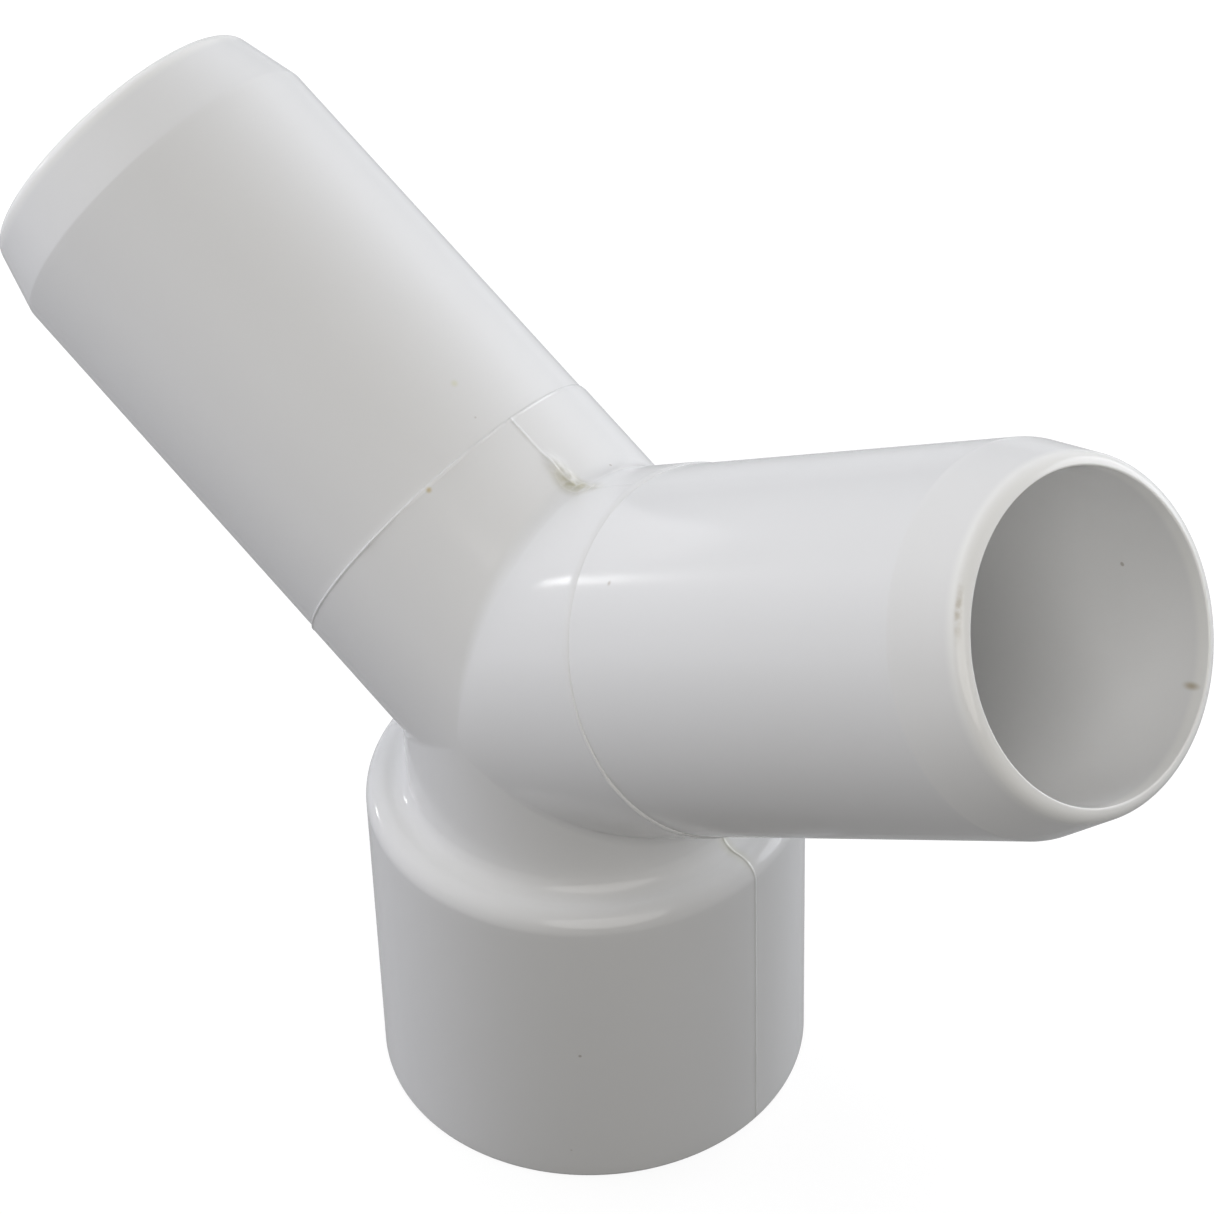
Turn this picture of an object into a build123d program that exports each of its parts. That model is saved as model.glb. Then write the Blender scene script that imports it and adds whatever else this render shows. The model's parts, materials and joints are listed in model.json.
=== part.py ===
"""Three-way PVC pipe fitting: two plain spigots and one slip socket, 120 degrees apart.

The real fitting is one injection moulding. It is modelled here in the four regions that its mould
makes, face to face: the socket with its shoulder, the hub where the three passages meet, and the
two spigots, each of which starts at the witness ring where a sleeve of the mould closes on the hub.

Frame: +Z up, origin at the centre of the socket's mouth, both spigots in the XZ plane.
Lengths are in millimetres, angles in degrees.
"""

from build123d import *
from math import cos, radians, sin, tan
import os

# The pipe size that the fitting is made for
SPIGOT_OD = 48.26  # 1 1/2 in pipe size, 1.900 in over the outside
SOCKET_CLEARANCE = 0.10  # radial play of a 1 1/2 in pipe in the socket
SOCKET_WALL = 5.935  # brings the socket to 60.33 mm outside, which is 2 in pipe size

# Passages
TIP_WALL = 4.03  # wall of a spigot at its tip, before the lip is rounded
BORE_DRAFT = 0.4  # every passage widens towards its mouth so that its core can be drawn

# Spigots
ARM_TILT = 60.0  # each spigot, from straight up
SPIGOT_LENGTH = 67.6  # witness ring to tip
NOSE_TAPER = 14.0  # lead-in cone, half angle
NOSE_ROUND = 2.0  # rolls the lip over into the bore
NOSE_BREAK = 6.0  # softens the edge between the cone and the straight wall

# Hub
WITNESS_STEP = 0.25  # the hub stands this much proud of the spigots, radially
CROTCH_ROUND = 3.5  # where two arms run into each other
TRACK_OVERRUN = 10.0  # degrees that the crotch's cutter runs on at the front and at the back
HUB_LAND = 10.7  # plain wall from the end of that round to the witness ring

# Socket
SOCKET_LENGTH = 49.5  # mouth to the flat of the shoulder
STOP_WALL = 7.0  # from the pipe stop inside to the flat of the shoulder outside
SHOULDER_ROUND = 3.0
NECK_FILLET = 2.5
NECK_LAND = 1.9  # plain wall from the crotch round to the neck fillet
MOUTH_BREAK = 0.8  # takes the sharpness off the outer edge of the mouth
MOUTH_CHAMFER = 1.0  # lead-in at the inner edge of the mouth

# Radii
spigot_r = SPIGOT_OD / 2
socket_bore_r = spigot_r + SOCKET_CLEARANCE
socket_r = socket_bore_r + SOCKET_WALL
tip_bore_r = spigot_r - TIP_WALL
hub_r = spigot_r + WITNESS_STEP

# The shoulder steps out from the neck to the socket, and its two rounds share that step
shoulder_step = socket_r - hub_r
shoulder_round = min(SHOULDER_ROUND, 0.54 * shoulder_step)
neck_fillet = min(NECK_FILLET, 0.45 * shoulder_step)

# Distances from the junction, where the three axes meet, along the arms.
# The crotch is the track of a ball that rolls round between two arms, its centre at ball_track_r
# from both axes. Along the arms, the track reaches as far out as crotch_reach.
ball_track_r = hub_r + CROTCH_ROUND
half_angle = min(ARM_TILT, 90 - ARM_TILT / 2)
crotch_reach = ball_track_r / tan(radians(half_angle))
witness_ring = crotch_reach + HUB_LAND
spigot_tip = witness_ring + SPIGOT_LENGTH
neck_end = crotch_reach + NECK_LAND / 2
shoulder = crotch_reach + NECK_LAND + neck_fillet

# Heights above the socket's mouth
junction_height = SOCKET_LENGTH + shoulder
stop_height = SOCKET_LENGTH - STOP_WALL
neck_foot = junction_height - neck_end

# The three axes leave the junction along these directions
junction = Vector(0, 0, junction_height)
right = Vector(sin(radians(ARM_TILT)), 0, cos(radians(ARM_TILT)))
left = Vector(-sin(radians(ARM_TILT)), 0, cos(radians(ARM_TILT)))
down = Vector(0, 0, -1)
arms = [(right, witness_ring), (left, witness_ring), (down, neck_end)]


def bore_radius(distance):
    """Radius of a drafted passage at a distance from the junction."""
    return tip_bore_r - (spigot_tip - distance) * tan(radians(BORE_DRAFT))


def square_to(direction):
    """The plane square to an arm, through the point where the three axes meet."""
    return Plane(origin=(0, 0, 0), x_dir=(0, 1, 0), z_dir=direction)


def round_leaves(arm, neighbour):
    """Where the round of a crotch leaves an arm, on the side of a neighbouring arm."""
    out = ball_track_r / tan(radians(arm.get_angle(neighbour) / 2))
    side = (neighbour - arm * arm.dot(neighbour)).normalized()
    return arm * out + side * hub_r


def sector(first, second):
    """A triangle from the junction out past two points: the outline of a wedge about the Y axis."""
    far = 2 * spigot_tip / first.length
    with BuildSketch(Plane.XZ) as outline:
        with BuildLine():
            Polyline((0, 0), (first.X * far, first.Z * far), (second.X * far, second.Z * far), close=True)
        make_face()
    return outline.sketch


# Socket: straight wall, pipe stop, shoulder and the foot of the neck, turned from one profile
with BuildPart() as socket:
    with BuildSketch(Plane.XZ):
        with BuildLine():
            Polyline(
                (socket_bore_r, 0),
                (socket_r, 0),
                (socket_r, SOCKET_LENGTH),
                (hub_r, SOCKET_LENGTH),
                (hub_r, neck_foot),
                (bore_radius(neck_end), neck_foot),
                (bore_radius(junction_height - stop_height), stop_height),
                (socket_bore_r, stop_height),
                close=True,
            )
        make_face()
        for x, size in ((hub_r, neck_fillet), (socket_r, shoulder_round)):
            fillet(vertices().sort_by_distance((x, SOCKET_LENGTH))[0], radius=size)
        for x, size in ((socket_r, MOUTH_BREAK), (socket_bore_r, MOUTH_CHAMFER)):
            chamfer(vertices().sort_by_distance((x, 0))[0], length=size)
    revolve(axis=Axis.Z)
socket.part.label = "socket"

# Hub: three round arms run into one another, with a soft crotch between each two. About the
# junction, arms and crotches are six wedges that meet face to face, and a small tolerance makes
# sure that they fuse at every size. The hub is made with the junction at the origin, and then
# lifted to its height.
wedges = []

# Each arm is cut to the wedge between the rounds on its two sides
for arm, length in arms:
    first, second = [other for other, _ in arms if other is not arm]
    with BuildPart() as arm_wedge:
        with BuildSketch(square_to(arm)):
            Circle(hub_r)
        extrude(amount=length)
        outline = sector(round_leaves(arm, first), round_leaves(arm, second))
        extrude(outline, amount=2 * hub_r, both=True, mode=Mode.INTERSECT)
    wedges.append(arm_wedge.part)

# Each crotch is a slice of the mitre between two arms, hollowed out by the ball's track
for arm, neighbour in ((right, left), (left, down), (down, right)):
    outwards = (arm + neighbour).normalized()
    mitre = Plane(origin=(0, 0, 0), x_dir=outwards, z_dir=outwards.cross(Vector(0, 1, 0)))
    track_reach = ball_track_r / sin(radians(arm.get_angle(neighbour) / 2))
    with BuildPart() as crotch_wedge:
        with BuildSketch(mitre):
            Ellipse(track_reach, ball_track_r)
        extrude(amount=CROTCH_ROUND, both=True)
        outline = sector(round_leaves(arm, neighbour), round_leaves(neighbour, arm))
        extrude(outline, amount=2 * hub_r, both=True, mode=Mode.INTERSECT)
        with BuildLine(mitre) as track:
            EllipticalCenterArc(
                (0, 0),
                track_reach,
                ball_track_r,
                start_angle=-90 - TRACK_OVERRUN,
                arc_size=180 + 2 * TRACK_OVERRUN,
            )
        with BuildSketch(Plane(origin=track.line @ 0, z_dir=track.line % 0)):
            Circle(CROTCH_ROUND)
        sweep(path=track.line, mode=Mode.SUBTRACT)
    wedges.append(crotch_wedge.part)

with BuildPart() as junction_body:
    add(wedges[0].fuse(*wedges[1:], tol=0.0001))
    for direction, length in arms:
        with Locations(square_to(direction)):
            Cone(
                bottom_radius=bore_radius(0),
                top_radius=bore_radius(length),
                height=length,
                align=(Align.CENTER, Align.CENTER, Align.MIN),
                mode=Mode.SUBTRACT,
            )

with BuildPart() as hub:
    with Locations(junction):
        add(junction_body.part)
hub.part.label = "hub"

# The lead-in cone runs back from the lip's round until it meets the straight wall
lip_centre = (tip_bore_r, spigot_tip - NOSE_ROUND)
cone_end_r = lip_centre[0] + NOSE_ROUND * cos(radians(NOSE_TAPER))
cone_end = lip_centre[1] + NOSE_ROUND * sin(radians(NOSE_TAPER))
cone_start = cone_end - (spigot_r - cone_end_r) / tan(radians(NOSE_TAPER))

# Right spigot: a tube from the witness ring to the rounded lip, turned about the arm's own axis
with BuildPart() as spigot_right:
    with BuildSketch(Plane(origin=junction, x_dir=(-right.Z, 0, right.X), z_dir=(0, 1, 0))):
        with BuildLine():
            wall = Polyline(
                (bore_radius(witness_ring), witness_ring),
                (spigot_r, witness_ring),
                (spigot_r, cone_start),
                (cone_end_r, cone_end),
            )
            lip = CenterArc(lip_centre, NOSE_ROUND, NOSE_TAPER, 90 - NOSE_TAPER)
            Line(lip @ 1, wall @ 0)
        make_face()
        fillet(vertices().sort_by_distance((spigot_r, cone_start))[0], radius=NOSE_BREAK)
    revolve(axis=Axis(junction, right))
spigot_right.part.label = "spigot_right"

# Left spigot: the same tube, mirrored
with BuildPart() as spigot_left:
    mirror(spigot_right.part, about=Plane.YZ)
spigot_left.part.label = "spigot_left"

os.makedirs("parts", exist_ok=True)
export_step(socket.part, "parts/socket.step")
export_step(hub.part, "parts/hub.step")
export_step(spigot_left.part, "parts/spigot_left.step")
export_step(spigot_right.part, "parts/spigot_right.step")

print(f"junction at {junction_height:.2f}, rings at {witness_ring:.2f}, tips at {spigot_tip:.2f}")
print(f"straight spigot wall {cone_start - witness_ring:.2f}, socket depth {stop_height:.2f}")
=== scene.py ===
import json
import math

import bmesh
import bpy
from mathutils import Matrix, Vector, noise


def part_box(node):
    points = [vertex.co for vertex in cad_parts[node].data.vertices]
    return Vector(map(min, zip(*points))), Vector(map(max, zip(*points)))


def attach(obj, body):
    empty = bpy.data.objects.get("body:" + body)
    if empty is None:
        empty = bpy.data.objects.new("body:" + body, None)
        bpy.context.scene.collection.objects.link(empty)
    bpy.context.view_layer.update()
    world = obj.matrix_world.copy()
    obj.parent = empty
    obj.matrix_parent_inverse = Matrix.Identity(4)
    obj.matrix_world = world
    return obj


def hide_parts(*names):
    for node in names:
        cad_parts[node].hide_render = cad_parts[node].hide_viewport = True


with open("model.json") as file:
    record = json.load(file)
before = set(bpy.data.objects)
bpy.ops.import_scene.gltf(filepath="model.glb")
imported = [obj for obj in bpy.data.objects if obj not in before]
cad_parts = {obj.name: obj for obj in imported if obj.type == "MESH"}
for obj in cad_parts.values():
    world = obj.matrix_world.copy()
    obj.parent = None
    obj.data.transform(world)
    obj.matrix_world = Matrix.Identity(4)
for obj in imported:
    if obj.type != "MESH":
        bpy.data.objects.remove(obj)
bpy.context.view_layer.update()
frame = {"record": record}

# ---------------------------------------------------------------------------------------------
# Socket: the wide end of the moulding, rigid PVC 6 mm thick. A steel core forms its bore and its
# stop, and two mould halves form its wall and its rounded shoulder and meet in a fine ridge at
# each side. Like the spigots it is turned about its axis, from the rounded outline of its wall.
MM = 0.001
mounts = {mount["name"]: mount for mount in frame["record"]["mounts"]}
socket_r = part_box("socket")[1].y
neck_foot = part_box("socket")[1].z
neck_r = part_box("hub")[1].y
socket_bore = mounts["socket_bore"]
socket_bore_r = socket_bore["dims"]["r_mm"] * MM
stop_height = socket_bore["pos_m"][2] + socket_bore["dims"]["length_mm"] * MM / 2
SHOULDER_ROUND = 3.0 * MM
NECK_FILLET = 2.5 * MM
NECK_STRAIGHT = 0.95 * MM
MOUTH_ROUND = 0.8 * MM
MOUTH_LEAD = 1.0 * MM
MOUTH_EDGE = 0.2 * MM
STOP_EDGE = 0.5 * MM
STOP_CORNER = 0.6 * MM
SOCKET_RIDGE = 0.13 * MM
RIDGE_WIDTH = 0.16 * MM
LONGEST_RUN = 1.5 * MM
SLACK = 0.01 * MM
MERGED = 0.0005 * MM
shoulder_height = neck_foot - NECK_STRAIGHT - NECK_FILLET

# The three axes meet at one point, the junction, and each spigot rises from it at 30 degrees
spigot = mounts["spigot_right"]
right = Vector(spigot["axis"]).normalized()
left = Vector((-right.x, 0, right.z))
down = Vector((0, 0, -1))
spigot_middle = Vector(spigot["pos_m"])
junction = Vector((0, 0, spigot_middle.z - spigot_middle.x * right.z / right.x))
ring = (spigot_middle - junction).length - spigot["dims"]["length_mm"] * MM / 2

# The passages taper towards the junction, so that the cores that form them can be pulled out
spigot_r = spigot["dims"]["r_mm"] * MM
TIP_WALL = 4.03 * MM
LIP_ROUND = 2.0 * MM
DRAFT = math.tan(math.radians(0.4))
tip_bore_r = spigot_r - TIP_WALL
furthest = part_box("spigot_right")[1]
lip_centre = min(
    (furthest.x - LIP_ROUND - tip_bore_r * right.z) / right.x,
    (furthest.z - junction.z - LIP_ROUND - tip_bore_r * right.x) / right.z,
)
tip = lip_centre + LIP_ROUND


def passage_r(distance):
    """Radius of a passage at a distance from the junction."""
    return tip_bore_r - (tip - distance) * DRAFT


class Wire:
    """An output of a node. Arithmetic on it adds Math nodes."""

    def __init__(self, nodes, socket):
        self.nodes, self.socket = nodes, socket

    def math(self, operation, *others):
        return self.nodes.math(operation, self, *others)

    def __add__(self, other):
        return self.nodes.math("ADD", self, other)

    def __sub__(self, other):
        return self.nodes.math("SUBTRACT", self, other)

    def __rsub__(self, other):
        return self.nodes.math("SUBTRACT", other, self)

    def __mul__(self, other):
        return self.nodes.math("MULTIPLY", self, other)

    def __truediv__(self, other):
        return self.nodes.math("DIVIDE", self, other)

    __radd__ = __add__
    __rmul__ = __mul__


class Nodes:
    """The nodes of one tree. add() makes a node: first its settings, then its sockets."""

    def __init__(self, tree):
        self.tree, self.nodes = tree, tree.nodes
        self.nodes.clear()

    @classmethod
    def for_material(cls, name):
        material = bpy.data.materials.new(name)
        material.use_nodes = True
        made = cls(material.node_tree)
        made.material = material
        return made

    def add(self, kind, settings=None, sockets=None, output=0):
        node = self.nodes.new(kind)
        for name, value in (settings or {}).items():
            setattr(node, name, value)
        for name, value in (sockets or {}).items():
            if isinstance(value, Wire):
                self.tree.links.new(value.socket, node.inputs[name])
            else:
                node.inputs[name].default_value = value
        return Wire(self, node.outputs[output]) if node.outputs else None

    def math(self, operation, *values):
        return self.add("ShaderNodeMath", {"operation": operation}, dict(enumerate(values)))

    def vector_math(self, operation, *values, output=0):
        return self.add("ShaderNodeVectorMath", {"operation": operation}, dict(enumerate(values)), output)

    def noise(self, place, scale, detail=2.0):
        sockets = {"Vector": place, "Scale": scale, "Detail": detail}
        return self.add("ShaderNodeTexNoise", sockets=sockets)

    def tint(self, share, first, second):
        """Goes from the first colour to the second as share goes from 0 to 1. A Mix node keeps its
        share in socket 0, its colours in 6 and 7, and the mixed colour in output 2."""
        settings = {"data_type": "RGBA"}
        return self.add("ShaderNodeMix", settings, {0: share, 6: first, 7: second}, output=2)

    def steps(self, value, start, end):
        """0 where value is at start, 1 where it is at end, and a soft step in between."""
        settings = {"interpolation_type": "SMOOTHSTEP"}
        sockets = {"Value": value, "From Min": start, "From Max": end}
        return self.add("ShaderNodeMapRange", settings, sockets)

    def near(self, place, centre, reach):
        """1 at a point and 0 from an ellipsoid round it outwards."""
        apart = self.vector_math("SUBTRACT", place, centre)
        apart = self.vector_math("MULTIPLY", apart, [1 / size for size in reach])
        away = self.vector_math("LENGTH", apart, output="Value")
        return self.steps(away, 1.0, 0.0)


WHITE = (0.855, 0.855, 0.848, 1)
WHITE_DENSE = (0.88, 0.882, 0.88, 1)
# Painted light for the lips: a paler white where light catches their rounds
PAINTED_LIP_LIGHT = (0.95, 0.95, 0.93, 1)
SCORCHED = (0.56, 0.54, 0.42, 1)
YELLOWED = (0.80, 0.80, 0.66, 1)
STAIN = (0.55, 0.49, 0.38, 1)
FLECK = (0.36, 0.31, 0.26, 1)
TAN_FLECK = (0.70, 0.60, 0.38, 1)

# The crotches are round, as if a ball had rolled along them. The gate is at the top of the upper
# one, and the seam of the mould halves crosses the shoulder below the right arm.
CROTCH_ROUND = 3.5 * MM
ball_r = neck_r + CROTCH_ROUND
gate = junction + Vector((0, 0, ball_r * 2 / math.sqrt(3) - CROTCH_ROUND))
seam_top = Vector((neck_r + NECK_FILLET, 0, shoulder_height + 2.0 * MM))


def on_arm(side, distance, out, turn):
    """A point along an arm and out from its axis. side is 1 for the right arm and -1 for the left
    one, and turn is in degrees from the arm's upper side."""
    upper = out * math.cos(math.radians(turn))
    x = right.x * distance - right.z * upper
    z = right.z * distance + right.x * upper
    return junction + Vector((side * x, out * math.sin(math.radians(turn)), z))


def moulded_pvc():
    """White rigid PVC from a polished mould: glossy, and faintly clouded where the melt flowed."""
    pvc = Nodes.for_material("moulded_pvc")
    place = pvc.add("ShaderNodeTexCoord", output="Object")
    cloud = pvc.noise(place, scale=25.0)
    colour = pvc.tint(cloud, WHITE, WHITE_DENSE)

    # Scorched plastic where the gate was broken off, darker where it is torn, and a yellowed seam
    torn = pvc.noise(place, scale=900.0, detail=4.0)
    scorched = pvc.near(place, gate, (7.0 * MM, 2.4 * MM, 4.5 * MM))
    colour = pvc.tint(scorched * pvc.steps(torn, 0.1, 0.6), colour, SCORCHED)
    yellowed = pvc.near(place, seam_top, (6.0 * MM, 1.6 * MM, 6.0 * MM))
    colour = pvc.tint(yellowed * 0.5, colour, YELLOWED)

    # The lips are painted paler: painted light, where light catches their rounds. The right one is stained
    # along its edge and scratched inside.
    reach = pvc.add("ShaderNodeSeparateXYZ", sockets={"Vector": place}, output="X").math("ABSOLUTE")
    rise = pvc.add("ShaderNodeSeparateXYZ", sockets={"Vector": place}, output="Z") - junction.z
    along = reach * right.x + rise * right.z
    # Painted light: the last millimetres of each lip are painted paler
    colour = pvc.tint(pvc.steps(along, tip - 2.6 * MM, tip - 1.2 * MM), colour, PAINTED_LIP_LIGHT)
    stained = pvc.near(place, on_arm(1, tip - 0.7 * MM, 21.5 * MM, -52), [5.0 * MM] * 3)
    edge = pvc.steps((along - tip + 0.75 * MM).math("ABSOLUTE"), 0.5 * MM, 0.1 * MM)
    colour = pvc.tint(stained * edge * pvc.steps(torn, 0.2, 0.7) * 0.6, colour, STAIN)
    scratched = pvc.near(place, on_arm(1, 92.0 * MM, 20.0 * MM, 137), (3.4 * MM, 0.6 * MM, 1.0 * MM))
    colour = pvc.tint(scratched, colour, STAIN)

    # Burnt resin shows as flecks: three larger ones on the arms, each placed by the arm's side, how
    # far out it lies, its turn and its size, and small ones in under half the cells of a grid
    for side, distance, turn, size, tone in (
        (1, 33.2 * MM, -40, 0.55 * MM, FLECK),
        (-1, 26.1 * MM, -35, 0.6 * MM, TAN_FLECK),
        (-1, 34.8 * MM, -6, 0.8 * MM, YELLOWED),
    ):
        fleck = pvc.near(place, on_arm(side, distance, neck_r, turn), [size] * 3)
        colour = pvc.tint(fleck, colour, tone)
    sockets = {"Vector": place, "Scale": 95.0}
    from_fleck = pvc.add("ShaderNodeTexVoronoi", sockets=sockets, output="Distance")
    chance = pvc.add("ShaderNodeTexVoronoi", sockets=sockets, output="Color")
    chance = pvc.add("ShaderNodeSeparateColor", sockets={"Color": chance}, output="Red")
    fleck = pvc.steps(from_fleck, 0.035, 0.02) * pvc.steps(chance, 0.55, 0.6)
    colour = pvc.tint(fleck * 0.6, colour, FLECK)

    # The wall waves a little, as moulded walls do, and the skin is faintly pitted
    wave = pvc.noise(place, scale=110.0, detail=1.0)
    grain = pvc.noise(place, scale=1500.0, detail=3.0)
    sockets = {"Strength": 0.35, "Distance": 0.03 * MM, "Height": wave}
    waved = pvc.add("ShaderNodeBump", sockets=sockets)
    sockets = {"Strength": 0.12, "Distance": 0.012 * MM, "Height": grain, "Normal": waved}
    skin = pvc.add("ShaderNodeBump", sockets=sockets)
    roughness = 0.1 + 0.05 * cloud + 0.35 * scorched
    sockets = {"Base Color": colour, "Roughness": roughness, "IOR": 1.53, "Normal": skin}
    surface = pvc.add("ShaderNodeBsdfPrincipled", sockets=sockets)
    pvc.add("ShaderNodeOutputMaterial", sockets={"Surface": surface})
    return pvc.material


white_pvc = moulded_pvc()


def rounded(corners):
    """The points of a closed outline. Each corner is a radius, a height and the size of its round."""
    points = []
    for i, (x, z, size) in enumerate(corners):
        here = Vector((x, 0, z))
        if not size:
            points.append(here)
            continue
        before, after = corners[i - 1], corners[(i + 1) % len(corners)]
        back = (Vector((before[0], 0, before[1])) - here).normalized()
        ahead = (Vector((after[0], 0, after[1])) - here).normalized()
        half = back.angle(ahead) / 2
        centre = here + (back + ahead).normalized() * size / math.sin(half)
        start = (here + back * size / math.tan(half) - centre).normalized()
        end = (here + ahead * size / math.tan(half) - centre).normalized()
        steps = max(6, math.ceil(start.angle(end) / math.radians(5)))
        points += [centre + start.slerp(end, k / steps) * size for k in range(steps + 1)]
    return points


def evened(points):
    """The same outline, with its long straight runs divided."""
    even = []
    for i, here in enumerate(points):
        there = points[(i + 1) % len(points)]
        count = max(1, math.ceil((there - here).length / LONGEST_RUN))
        even += [here.lerp(there, k / count) for k in range(count)]
    return even


def turning():
    """Geometry Nodes that turn a closed outline about an axis, and raise the ridge where the mould
    halves meet. Its columns crowd together there, to carry the ridge."""
    tree = Nodes(bpy.data.node_groups.new("turned_piece", "GeometryNodeTree"))
    kinds = {
        "Outline": "NodeSocketGeometry",
        "Around": "NodeSocketInt",
        "Crowding": "NodeSocketFloat",
        "Tilt": "NodeSocketFloat",
        "Start": "NodeSocketVector",
        "Ridge height": "NodeSocketFloat",
        "Ridge width": "NodeSocketFloat",
        "Seed": "NodeSocketFloat",
        "Material": "NodeSocketMaterial",
    }
    for name, kind in kinds.items():
        tree.tree.interface.new_socket(name, in_out="INPUT", socket_type=kind)
    tree.tree.interface.new_socket("Piece", in_out="OUTPUT", socket_type="NodeSocketGeometry")
    given = {name: tree.add("NodeGroupInput", output=name) for name in kinds}

    # A grid has one column for each step round the axis, and one row for each outline point
    count = tree.add("GeometryNodeAttributeDomainSize", sockets={"Geometry": given["Outline"]})
    rows = count + 1
    columns = given["Around"] + 1
    grid = tree.add("GeometryNodeMeshGrid", sockets={"Vertices X": columns, "Vertices Y": rows})
    index = tree.add("GeometryNodeInputIndex")
    column = (index / rows).math("FLOOR")
    row = index - column * rows
    point_index = row.math("FLOORED_MODULO", count)

    around = column / given["Around"] * math.tau
    angle = around - (around * 2).math("SINE") * given["Crowding"] / 2

    def spun(value):
        """A vector of the outline's points, turned about the axis to the column's place."""
        settings = {"data_type": "FLOAT_VECTOR", "domain": "POINT"}
        sockets = {"Geometry": given["Outline"], "Value": value, "Index": point_index}
        sockets = {"Vector": tree.add("GeometryNodeSampleIndex", settings, sockets), "Angle": angle}
        return tree.add("ShaderNodeVectorRotate", {"rotation_type": "Z_AXIS"}, sockets)

    place = spun(tree.add("GeometryNodeInputPosition"))
    settings = {"data_type": "FLOAT_VECTOR"}
    outward = spun(tree.add("GeometryNodeInputNamedAttribute", settings, {"Name": "outward"}))

    # The ridge is a low, ragged crest that stands on either side where the halves meet
    side = tree.add("ShaderNodeSeparateXYZ", sockets={"Vector": place}, output="Y")
    share = side / given["Ridge width"]
    bump = (0 - share * share).math("EXPONENT")
    settings = {"noise_dimensions": "4D"}
    sockets = {"Vector": place, "W": given["Seed"], "Scale": 400.0, "Detail": 2.0}
    ragged = tree.add("ShaderNodeTexNoise", settings, sockets)
    height = given["Ridge height"] * bump * (ragged * 2 - 0.2)
    sockets = {"Vector": outward, "Scale": height}
    raised = tree.add("ShaderNodeVectorMath", {"operation": "SCALE"}, sockets)
    place = tree.vector_math("ADD", place, raised)

    # The axis is tilted in the plane of the three arms, and the piece moved to where it starts
    sockets = {"Vector": place, "Angle": given["Tilt"]}
    place = tree.add("ShaderNodeVectorRotate", {"rotation_type": "Y_AXIS"}, sockets)
    place = tree.vector_math("ADD", place, given["Start"])
    piece = tree.add("GeometryNodeSetPosition", sockets={"Geometry": grid, "Position": place})
    piece = tree.add("GeometryNodeMergeByDistance", sockets={"Geometry": piece, "Distance": MERGED})
    piece = tree.add("GeometryNodeRealizeInstances", sockets={"Geometry": piece})
    sockets = {"Geometry": piece, "Material": given["Material"]}
    piece = tree.add("GeometryNodeSetMaterial", sockets=sockets)
    tree.add("NodeGroupOutput", sockets={"Piece": piece})
    return tree.tree


turned_piece = turning()


def closed(name, mesh):
    """Closes a mesh's seams, turns its faces outwards and shades its rounds smooth."""
    work = bmesh.new()
    work.from_mesh(mesh)
    bmesh.ops.remove_doubles(work, verts=work.verts, dist=MERGED)
    bmesh.ops.recalc_face_normals(work, faces=work.faces)
    work.to_mesh(mesh)
    work.free()
    mesh.name = name
    mesh.shade_smooth()
    mesh.set_sharp_from_angle(angle=math.radians(40))
    return mesh


def moulded(piece, node):
    """The piece takes the place of the plain solid, in the same white plastic."""
    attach(piece, "root")
    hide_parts(node)


def turned(name, outline, tilt=0.0, start=(0, 0, 0), ridge_height=0.0, seed=0.0):
    """One closed piece, turned from an outline."""
    mesh = bpy.data.meshes.new(name)
    edges = [(i, (i + 1) % len(outline)) for i in range(len(outline))]
    mesh.from_pydata(outline, edges, [])

    # The ridge is raised only on the outside of the socket, from above the mouth's round
    outward = mesh.attributes.new("outward", "FLOAT_VECTOR", "POINT")
    for i, here in enumerate(outline):
        along = outline[(i + 1) % len(outline)] - outline[i - 1]
        outside = here.z > stop_height or here.x > (socket_bore_r + socket_r) / 2
        if outside and here.x > neck_r - SLACK and here.z > MOUTH_ROUND - SLACK:
            outward.data[i].vector = Vector((along.z, 0, -along.x)).normalized()

    piece = bpy.data.objects.new(name, mesh)
    bpy.context.scene.collection.objects.link(piece)
    modifier = piece.modifiers.new("turned", "NODES")
    modifier.node_group = turned_piece
    values = {
        "Around": 384,
        "Crowding": 0.9 if ridge_height else 0.0,
        "Tilt": tilt,
        "Start": start,
        "Ridge height": ridge_height,
        "Ridge width": RIDGE_WIDTH,
        "Seed": seed,
        "Material": white_pvc,
    }
    for item in turned_piece.interface.items_tree:
        if item.name in values:
            modifier[item.identifier] = values[item.name]
    evaluated = piece.evaluated_get(bpy.context.evaluated_depsgraph_get())
    solid = bpy.data.meshes.new_from_object(evaluated)
    piece.modifiers.remove(modifier)
    piece.data = closed(name, solid)
    return piece


outline = [
    (socket_r, 0, MOUTH_ROUND),
    (socket_r, shoulder_height, SHOULDER_ROUND),
    (neck_r, shoulder_height, NECK_FILLET),
    (neck_r, neck_foot, 0),
    (passage_r(junction.z - neck_foot), neck_foot, 0),
    (passage_r(junction.z - stop_height), stop_height, STOP_EDGE),
    (socket_bore_r, stop_height, STOP_CORNER),
    (socket_bore_r, MOUTH_LEAD, MOUTH_EDGE),
    (socket_bore_r + MOUTH_LEAD, 0, MOUTH_EDGE),
]
outline = evened(rounded(outline))
moulded(turned("socket_moulding", outline, ridge_height=SOCKET_RIDGE, seed=3.0), "socket")

# ---------------------------------------------------------------------------------------------
# Spigots: two plain arms of the moulding, the outside of a pipe. Sleeves of the mould form each
# in one, so there is no ridge along them, and its lip is rounded so that a socket slips over it.
TAPER = math.radians(14.0)
NOSE_BREAK = 2.0 * MM
LIP_EDGE = 0.22 * MM
nose_r = tip_bore_r + LIP_ROUND * math.tan(math.pi / 4 - TAPER / 2)
nose_start = tip - (spigot_r - nose_r) / math.tan(TAPER)


def arc(x, z, radius, start, end, steps):
    """Points of an arc of the outline, each a corner with no round of its own."""
    turns = [start + (end - start) * k / steps for k in range(steps + 1)]
    return [(x + radius * math.cos(turn), z + radius * math.sin(turn), 0) for turn in turns]


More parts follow.
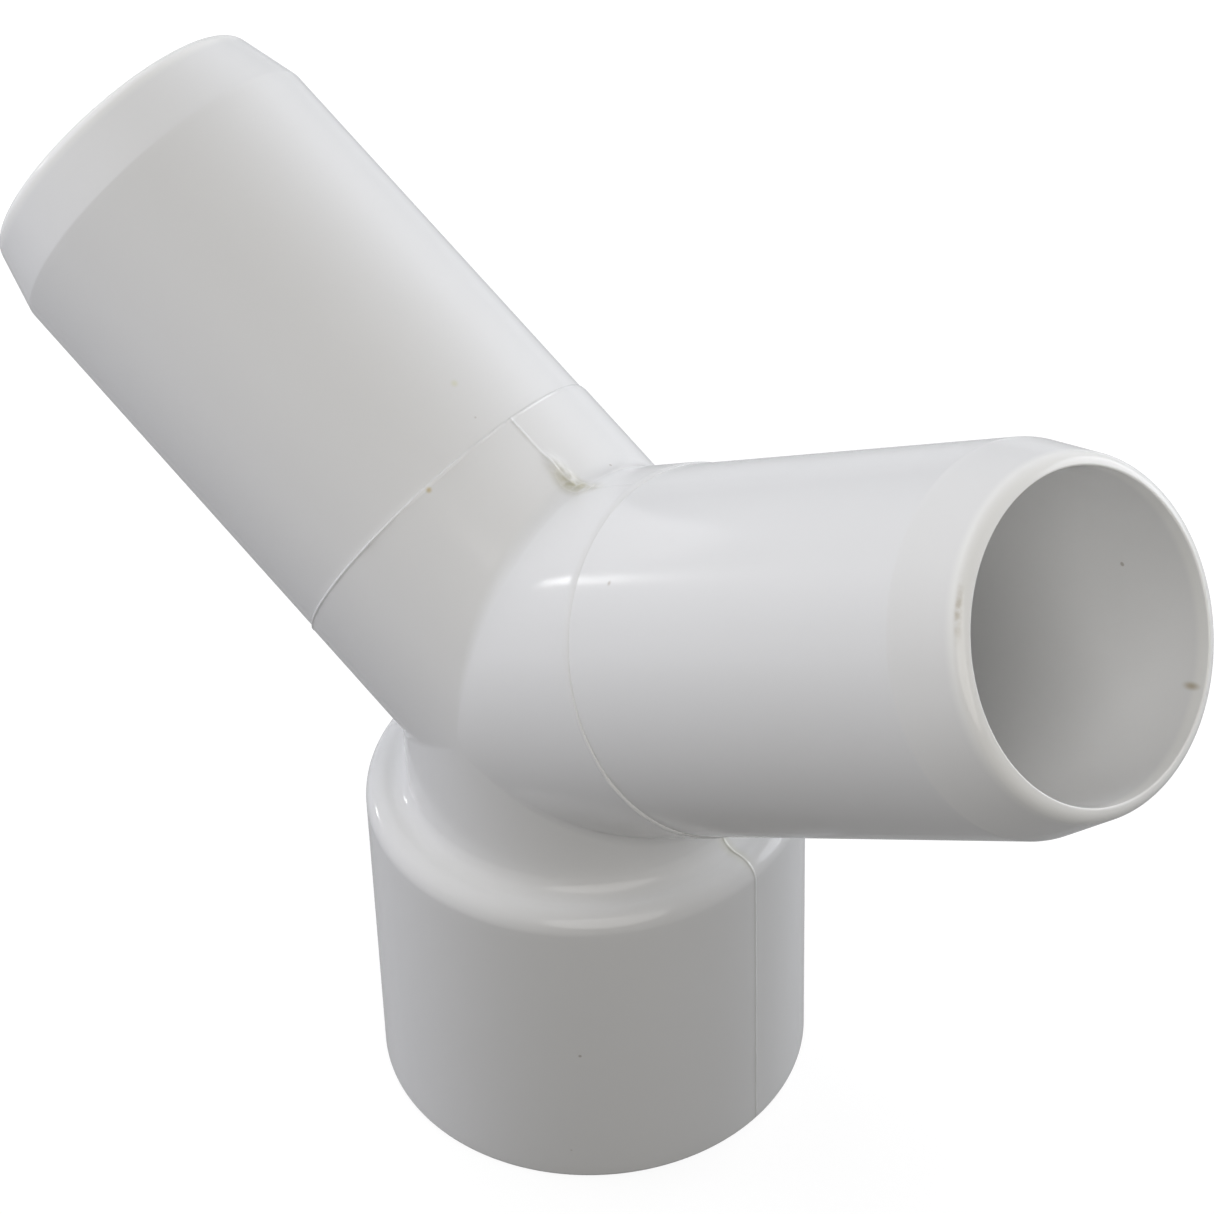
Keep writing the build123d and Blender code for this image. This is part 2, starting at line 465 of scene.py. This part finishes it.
# The lip's round runs into a much smaller one at the edge of the passage
edge_height = math.sqrt((LIP_ROUND - LIP_EDGE) ** 2 - LIP_EDGE ** 2)
meeting = math.atan2(edge_height, LIP_EDGE)
outline = [(passage_r(ring), ring, 0), (spigot_r, ring, 0), (spigot_r, nose_start, NOSE_BREAK)]
outline += arc(tip_bore_r, lip_centre, LIP_ROUND, TAPER, meeting, 20)
outline += arc(tip_bore_r + LIP_EDGE, lip_centre + edge_height, LIP_EDGE, meeting, math.pi, 8)[1:]
outline = evened(rounded(outline))
for name, side in (("spigot_right", 1), ("spigot_left", -1)):
    moulded(turned(name + "_moulding", outline, side * math.acos(right.z), junction), name)

# ---------------------------------------------------------------------------------------------
# Hub: the middle of the moulding, where three round arms run into one another and a soft crotch
# fills each crease between them. The mould halves leave a ridge in the plane of the arms, its
# sleeves leave a thin flash at both rings, and the gate was broken off in the upper crotch.
FLASH_WIDTH = 0.42 * MM
FLASH_HEIGHT = 0.20 * MM
EASED_WIDTH = 1.1 * MM
HUB_RIDGE_WIDTH = 0.2 * MM
GATE_HEIGHT = 0.5 * MM
GATE_REACH = 5.0 * MM
GATE_HALF_WIDTH = 1.15 * MM
FINE_STRETCH = 1.2 * MM
COARSE_STEPS = 30
FINE_STEPS = 12
PASSAGE_STEPS = 6
CROTCH_STEPS = 24
QUARTER_STEPS = 96

# Each half of an arm and each crotch is a strip of columns, from the front of the fitting to its
# back. The columns crowd together in the plane of the arms, where the ridge is.
angles = [k / QUARTER_STEPS * math.pi / 2 for k in range(-QUARTER_STEPS, QUARTER_STEPS + 1)]
angles = [angle - 0.45 * math.sin(2 * angle) for angle in angles]


def ridge(place):
    """Height of the parting ridge at a place on the hub's outside. It is highest left of the gate."""
    height = 0.13 * MM
    if place.z > gate.z:
        height = 0.17 * MM if place.x < 0 else 0.04 * MM
    ragged = 0.75 + 0.5 * noise.noise(place * 900)
    return height * ragged * math.exp(-((place.y / HUB_RIDGE_WIDTH) ** 2))


def gate_stub(place):
    """Height of what is left of the gate: a torn strip that lies along the crotch."""
    away = place - gate
    along = (away.x + 0.8 * MM) / GATE_REACH
    beside = away.y / (GATE_HALF_WIDTH + 0.45 * MM * noise.noise(place * 500))
    share = max(0.0, 1 - along ** 4) * math.exp(-(beside ** 2))
    torn = 0.6 + 0.6 * noise.noise(place * 600) + 0.35 * noise.noise(place * 1500)
    return GATE_HEIGHT * share * max(0.2, torn)


def flash(place, short, strength):
    """Height of the thin fin at a ring, where the mould's sleeve closes on its halves. Where the fin
    dies out, the hub eases down to the spigot instead."""
    ease = max(0.0, 1 - short / EASED_WIDTH) ** 2
    height = -0.95 * (neck_r - spigot_r) * (1 - strength) * ease
    if short < FLASH_WIDTH:
        ragged = 0.75 + 0.5 * noise.noise(place * 350) + 0.5 * noise.noise(place * 1400)
        rise = math.sin(math.pi * (1 - short / FLASH_WIDTH) ** 0.8)
        height += FLASH_HEIGHT * strength * max(0.15, ragged) * rise
    return height


def facing(axis, neighbour):
    """The direction square to an arm's axis that points to its neighbour."""
    return (neighbour - axis * neighbour.dot(axis)).normalized()


def radial(axis, neighbour, angle):
    """The direction out from an arm's axis, turned from its neighbour towards the back."""
    return facing(axis, neighbour) * math.cos(angle) + Vector((0, math.sin(angle), 0))


def crease(radius, angle):
    """How far out of the junction the crease between two arms of a radius lies at an angle."""
    return radius * math.cos(angle) / math.sqrt(3)


def arm_column(axis, out, angle, end, fin):
    """Points along an arm's outside from its crotch to its end, and back along its passage."""
    leaves = crease(ball_r, angle)
    fine = min(FINE_STRETCH, 0.6 * (end - leaves))
    stations = [leaves + (end - fine - leaves) * k / COARSE_STEPS for k in range(COARSE_STEPS)]
    stations += [end - fine * (1 - k / FINE_STEPS) ** 1.3 for k in range(FINE_STEPS + 1)]
    column = []
    for station in stations:
        place = junction + axis * station + out * neck_r
        height = ridge(place) + gate_stub(place)
        if fin:
            height += flash(place, end - station, fin)
        column.append(place + out * height)

    meets = crease(passage_r(0), angle) / (1 - crease(DRAFT, angle))
    for k in range(PASSAGE_STEPS + 1):
        station = end + (meets - end) * k / PASSAGE_STEPS
        column.append(junction + axis * station + out * passage_r(station))
    return column


def crotch_column(first_arm, second_arm, angle):
    """Points across a crotch, which is as hollow as the ball that rolled along it."""
    first_out = radial(first_arm, second_arm, angle)
    second_out = radial(second_arm, first_arm, angle)
    leaves = crease(ball_r, angle)
    centre = junction + first_arm * leaves + first_out * ball_r
    column = []
    for k in range(CROTCH_STEPS + 1):
        # At the front and back the two arms share one direction, with nothing to turn through
        inward = first_out
        if leaves > SLACK:
            inward = first_out.slerp(second_out, k / CROTCH_STEPS)
        place = centre - inward * CROTCH_ROUND
        column.append(place + inward * (ridge(place) + gate_stub(place)))
    return column


vertices, faces = [], []


def lay(columns):
    """Adds a strip of four-sided faces over columns of points."""
    first, high = len(vertices), len(columns[0])
    for column in columns:
        vertices.extend(column)
    for i in range(len(columns) - 1):
        for j in range(high - 1):
            corner = first + i * high + j
            faces.append((corner, corner + 1, corner + high + 1, corner + high))


# Where each arm ends, where its fin is thickest, and how soon it thins out from there: the left
# ring's is wide round the front, and the right ring's is short and lies below the front
arms = (
    (down, junction.z - neck_foot, None, 0.0),
    (right, ring, radial(right, left, math.radians(-112)), 5.0),
    (left, ring, radial(left, right, math.radians(-50)), 0.4),
)
for axis, end, thickest, thinning in arms:
    for neighbour in (down, right, left):
        if neighbour is axis:
            continue
        columns = []
        for angle in angles:
            out = radial(axis, neighbour, angle)
            fin = 0.0
            if thickest:
                fin = 0.06 + 0.94 * max(0.0, out.dot(thickest)) ** thinning
            columns.append(arm_column(axis, out, angle, end, fin))
        lay(columns)
for pair in ((right, left), (right, down), (left, down)):
    lay([crotch_column(*pair, angle) for angle in angles])

mesh = bpy.data.meshes.new("hub_moulding")
mesh.from_pydata(vertices, [], faces)
mesh.materials.append(white_pvc)
hub = bpy.data.objects.new("hub_moulding", closed("hub_moulding", mesh))
bpy.context.scene.collection.objects.link(hub)
moulded(hub, "hub")

# ---------------------------------------------------------------------------------------------
# The set: a pale floor in white surroundings, soft round lamps on all sides, and a long lens that
# looks down from the front right. Only some lamps show in the gloss, as a window or a sheet of
# card would beside the fitting, and one small lamp is there for its glint alone.
FLOOR_REACH = 3.0
LAMP_DISTANCE = 0.8


def looks_white(nodes, mirrored):
    """1 to the camera, directly or through glass, and less in the fitting's gloss. 0 as a lamp."""
    seen = nodes.add("ShaderNodeLightPath", output="Is Camera Ray")
    seen = seen + nodes.add("ShaderNodeLightPath", output="Is Transmission Ray")
    return seen + nodes.add("ShaderNodeLightPath", output="Is Glossy Ray") * mirrored


def floor_with_painted_shade():
    """White paint with a painted shade: its glow is a little darker round the fitting, so that the
    fitting's shadow shows on it.
    """
    paint = Nodes.for_material("floor_with_painted_shade")
    place = paint.add("ShaderNodeTexCoord", output="Object")
    # Painted shade: the glow dims by up to a tenth near the fitting
    shaded = paint.near(place, (0, 0, 0), (0.8, 0.8, 0.8)) * 0.1
    matt = paint.add("ShaderNodeBsdfDiffuse", sockets={"Color": (0.15, 0.15, 0.15, 1)})
    sockets = {"Color": (1, 1, 1, 1), "Strength": looks_white(paint, 0.3) * (1 - shaded)}
    glow = paint.add("ShaderNodeEmission", sockets=sockets)
    both = paint.add("ShaderNodeAddShader", sockets={0: matt, 1: glow})
    paint.add("ShaderNodeOutputMaterial", sockets={"Surface": both})
    return paint.material


floor_mesh = bpy.data.meshes.new("floor")
corners = [(-1, -1, 0), (1, -1, 0), (1, 1, 0), (-1, 1, 0)]
floor_mesh.from_pydata([Vector(corner) * FLOOR_REACH for corner in corners], [], [(0, 1, 2, 3)])
floor_mesh.materials.append(floor_with_painted_shade())
floor = bpy.data.objects.new("floor", floor_mesh)
bpy.context.scene.collection.objects.link(floor)

world = bpy.data.worlds.new("studio")
bpy.context.scene.world = world
world.use_nodes = True
sky = Nodes(world.node_tree)
sockets = {"Color": (1, 1, 1, 1), "Strength": looks_white(sky, 0.1)}
sockets = {"Surface": sky.add("ShaderNodeBackground", sockets=sockets)}
sky.add("ShaderNodeOutputWorld", sockets=sockets)


def soft_lamp(name, side, height, size, power, colour=(1, 1, 1), mirrored=True):
    """A round lamp that faces the fitting. side and height are angles, from +X and from the floor."""
    light = bpy.data.lights.new(name, "AREA")
    light.shape = "DISK"
    light.size = size
    light.energy = power
    light.color = colour
    side, height = math.radians(side), math.radians(height)
    away = Vector((math.cos(side) * math.cos(height), math.sin(side) * math.cos(height), math.sin(height)))
    lamp = bpy.data.objects.new(name, light)
    lamp.location = junction + away * LAMP_DISTANCE
    lamp.rotation_euler = away.to_track_quat("Z", "Y").to_euler()
    lamp.visible_glossy = mirrored
    bpy.context.scene.collection.objects.link(lamp)


soft_lamp("lamp_front", 320, 32, 0.8, 2.65, (1.0, 0.98, 0.95))
soft_lamp("lamp_left", 200, 32, 0.6, 0.85, (0.90, 0.96, 1.0), mirrored=False)
soft_lamp("lamp_left_low", 210, 12, 0.6, 3.25, (0.94, 0.94, 1.0), mirrored=False)
soft_lamp("lamp_left_behind", 160, 32, 0.6, 2.3, (0.95, 0.96, 1.0), mirrored=False)
soft_lamp("lamp_behind", 90, 12, 0.6, 4.0, (0.93, 0.95, 1.0), mirrored=False)
soft_lamp("lamp_right_behind", 60, 12, 0.6, 2.1, (0.93, 0.95, 1.0))
soft_lamp("lamp_above", 0, 75, 0.6, 1.7, (1.0, 0.985, 0.97), mirrored=False)
soft_lamp("lamp_glint", 189, 8.5, 0.05, 0.15)

camera = bpy.data.objects.new("camera", bpy.data.cameras.new("camera"))
bpy.context.scene.collection.objects.link(camera)
bpy.context.scene.camera = camera
camera.location = junction + Vector((297.1, -322.6, 375.8)) * MM
camera.rotation_euler = [math.radians(angle) for angle in (49.264, 0.891, 40.333)]
camera.data.sensor_width = 36
camera.data.lens = 127.98
camera.data.shift_x = -0.0513
camera.data.shift_y = 0.0455
camera.data.clip_start = 0.01
camera.data.clip_end = 20

bpy.context.scene.view_settings.view_transform = "Standard"
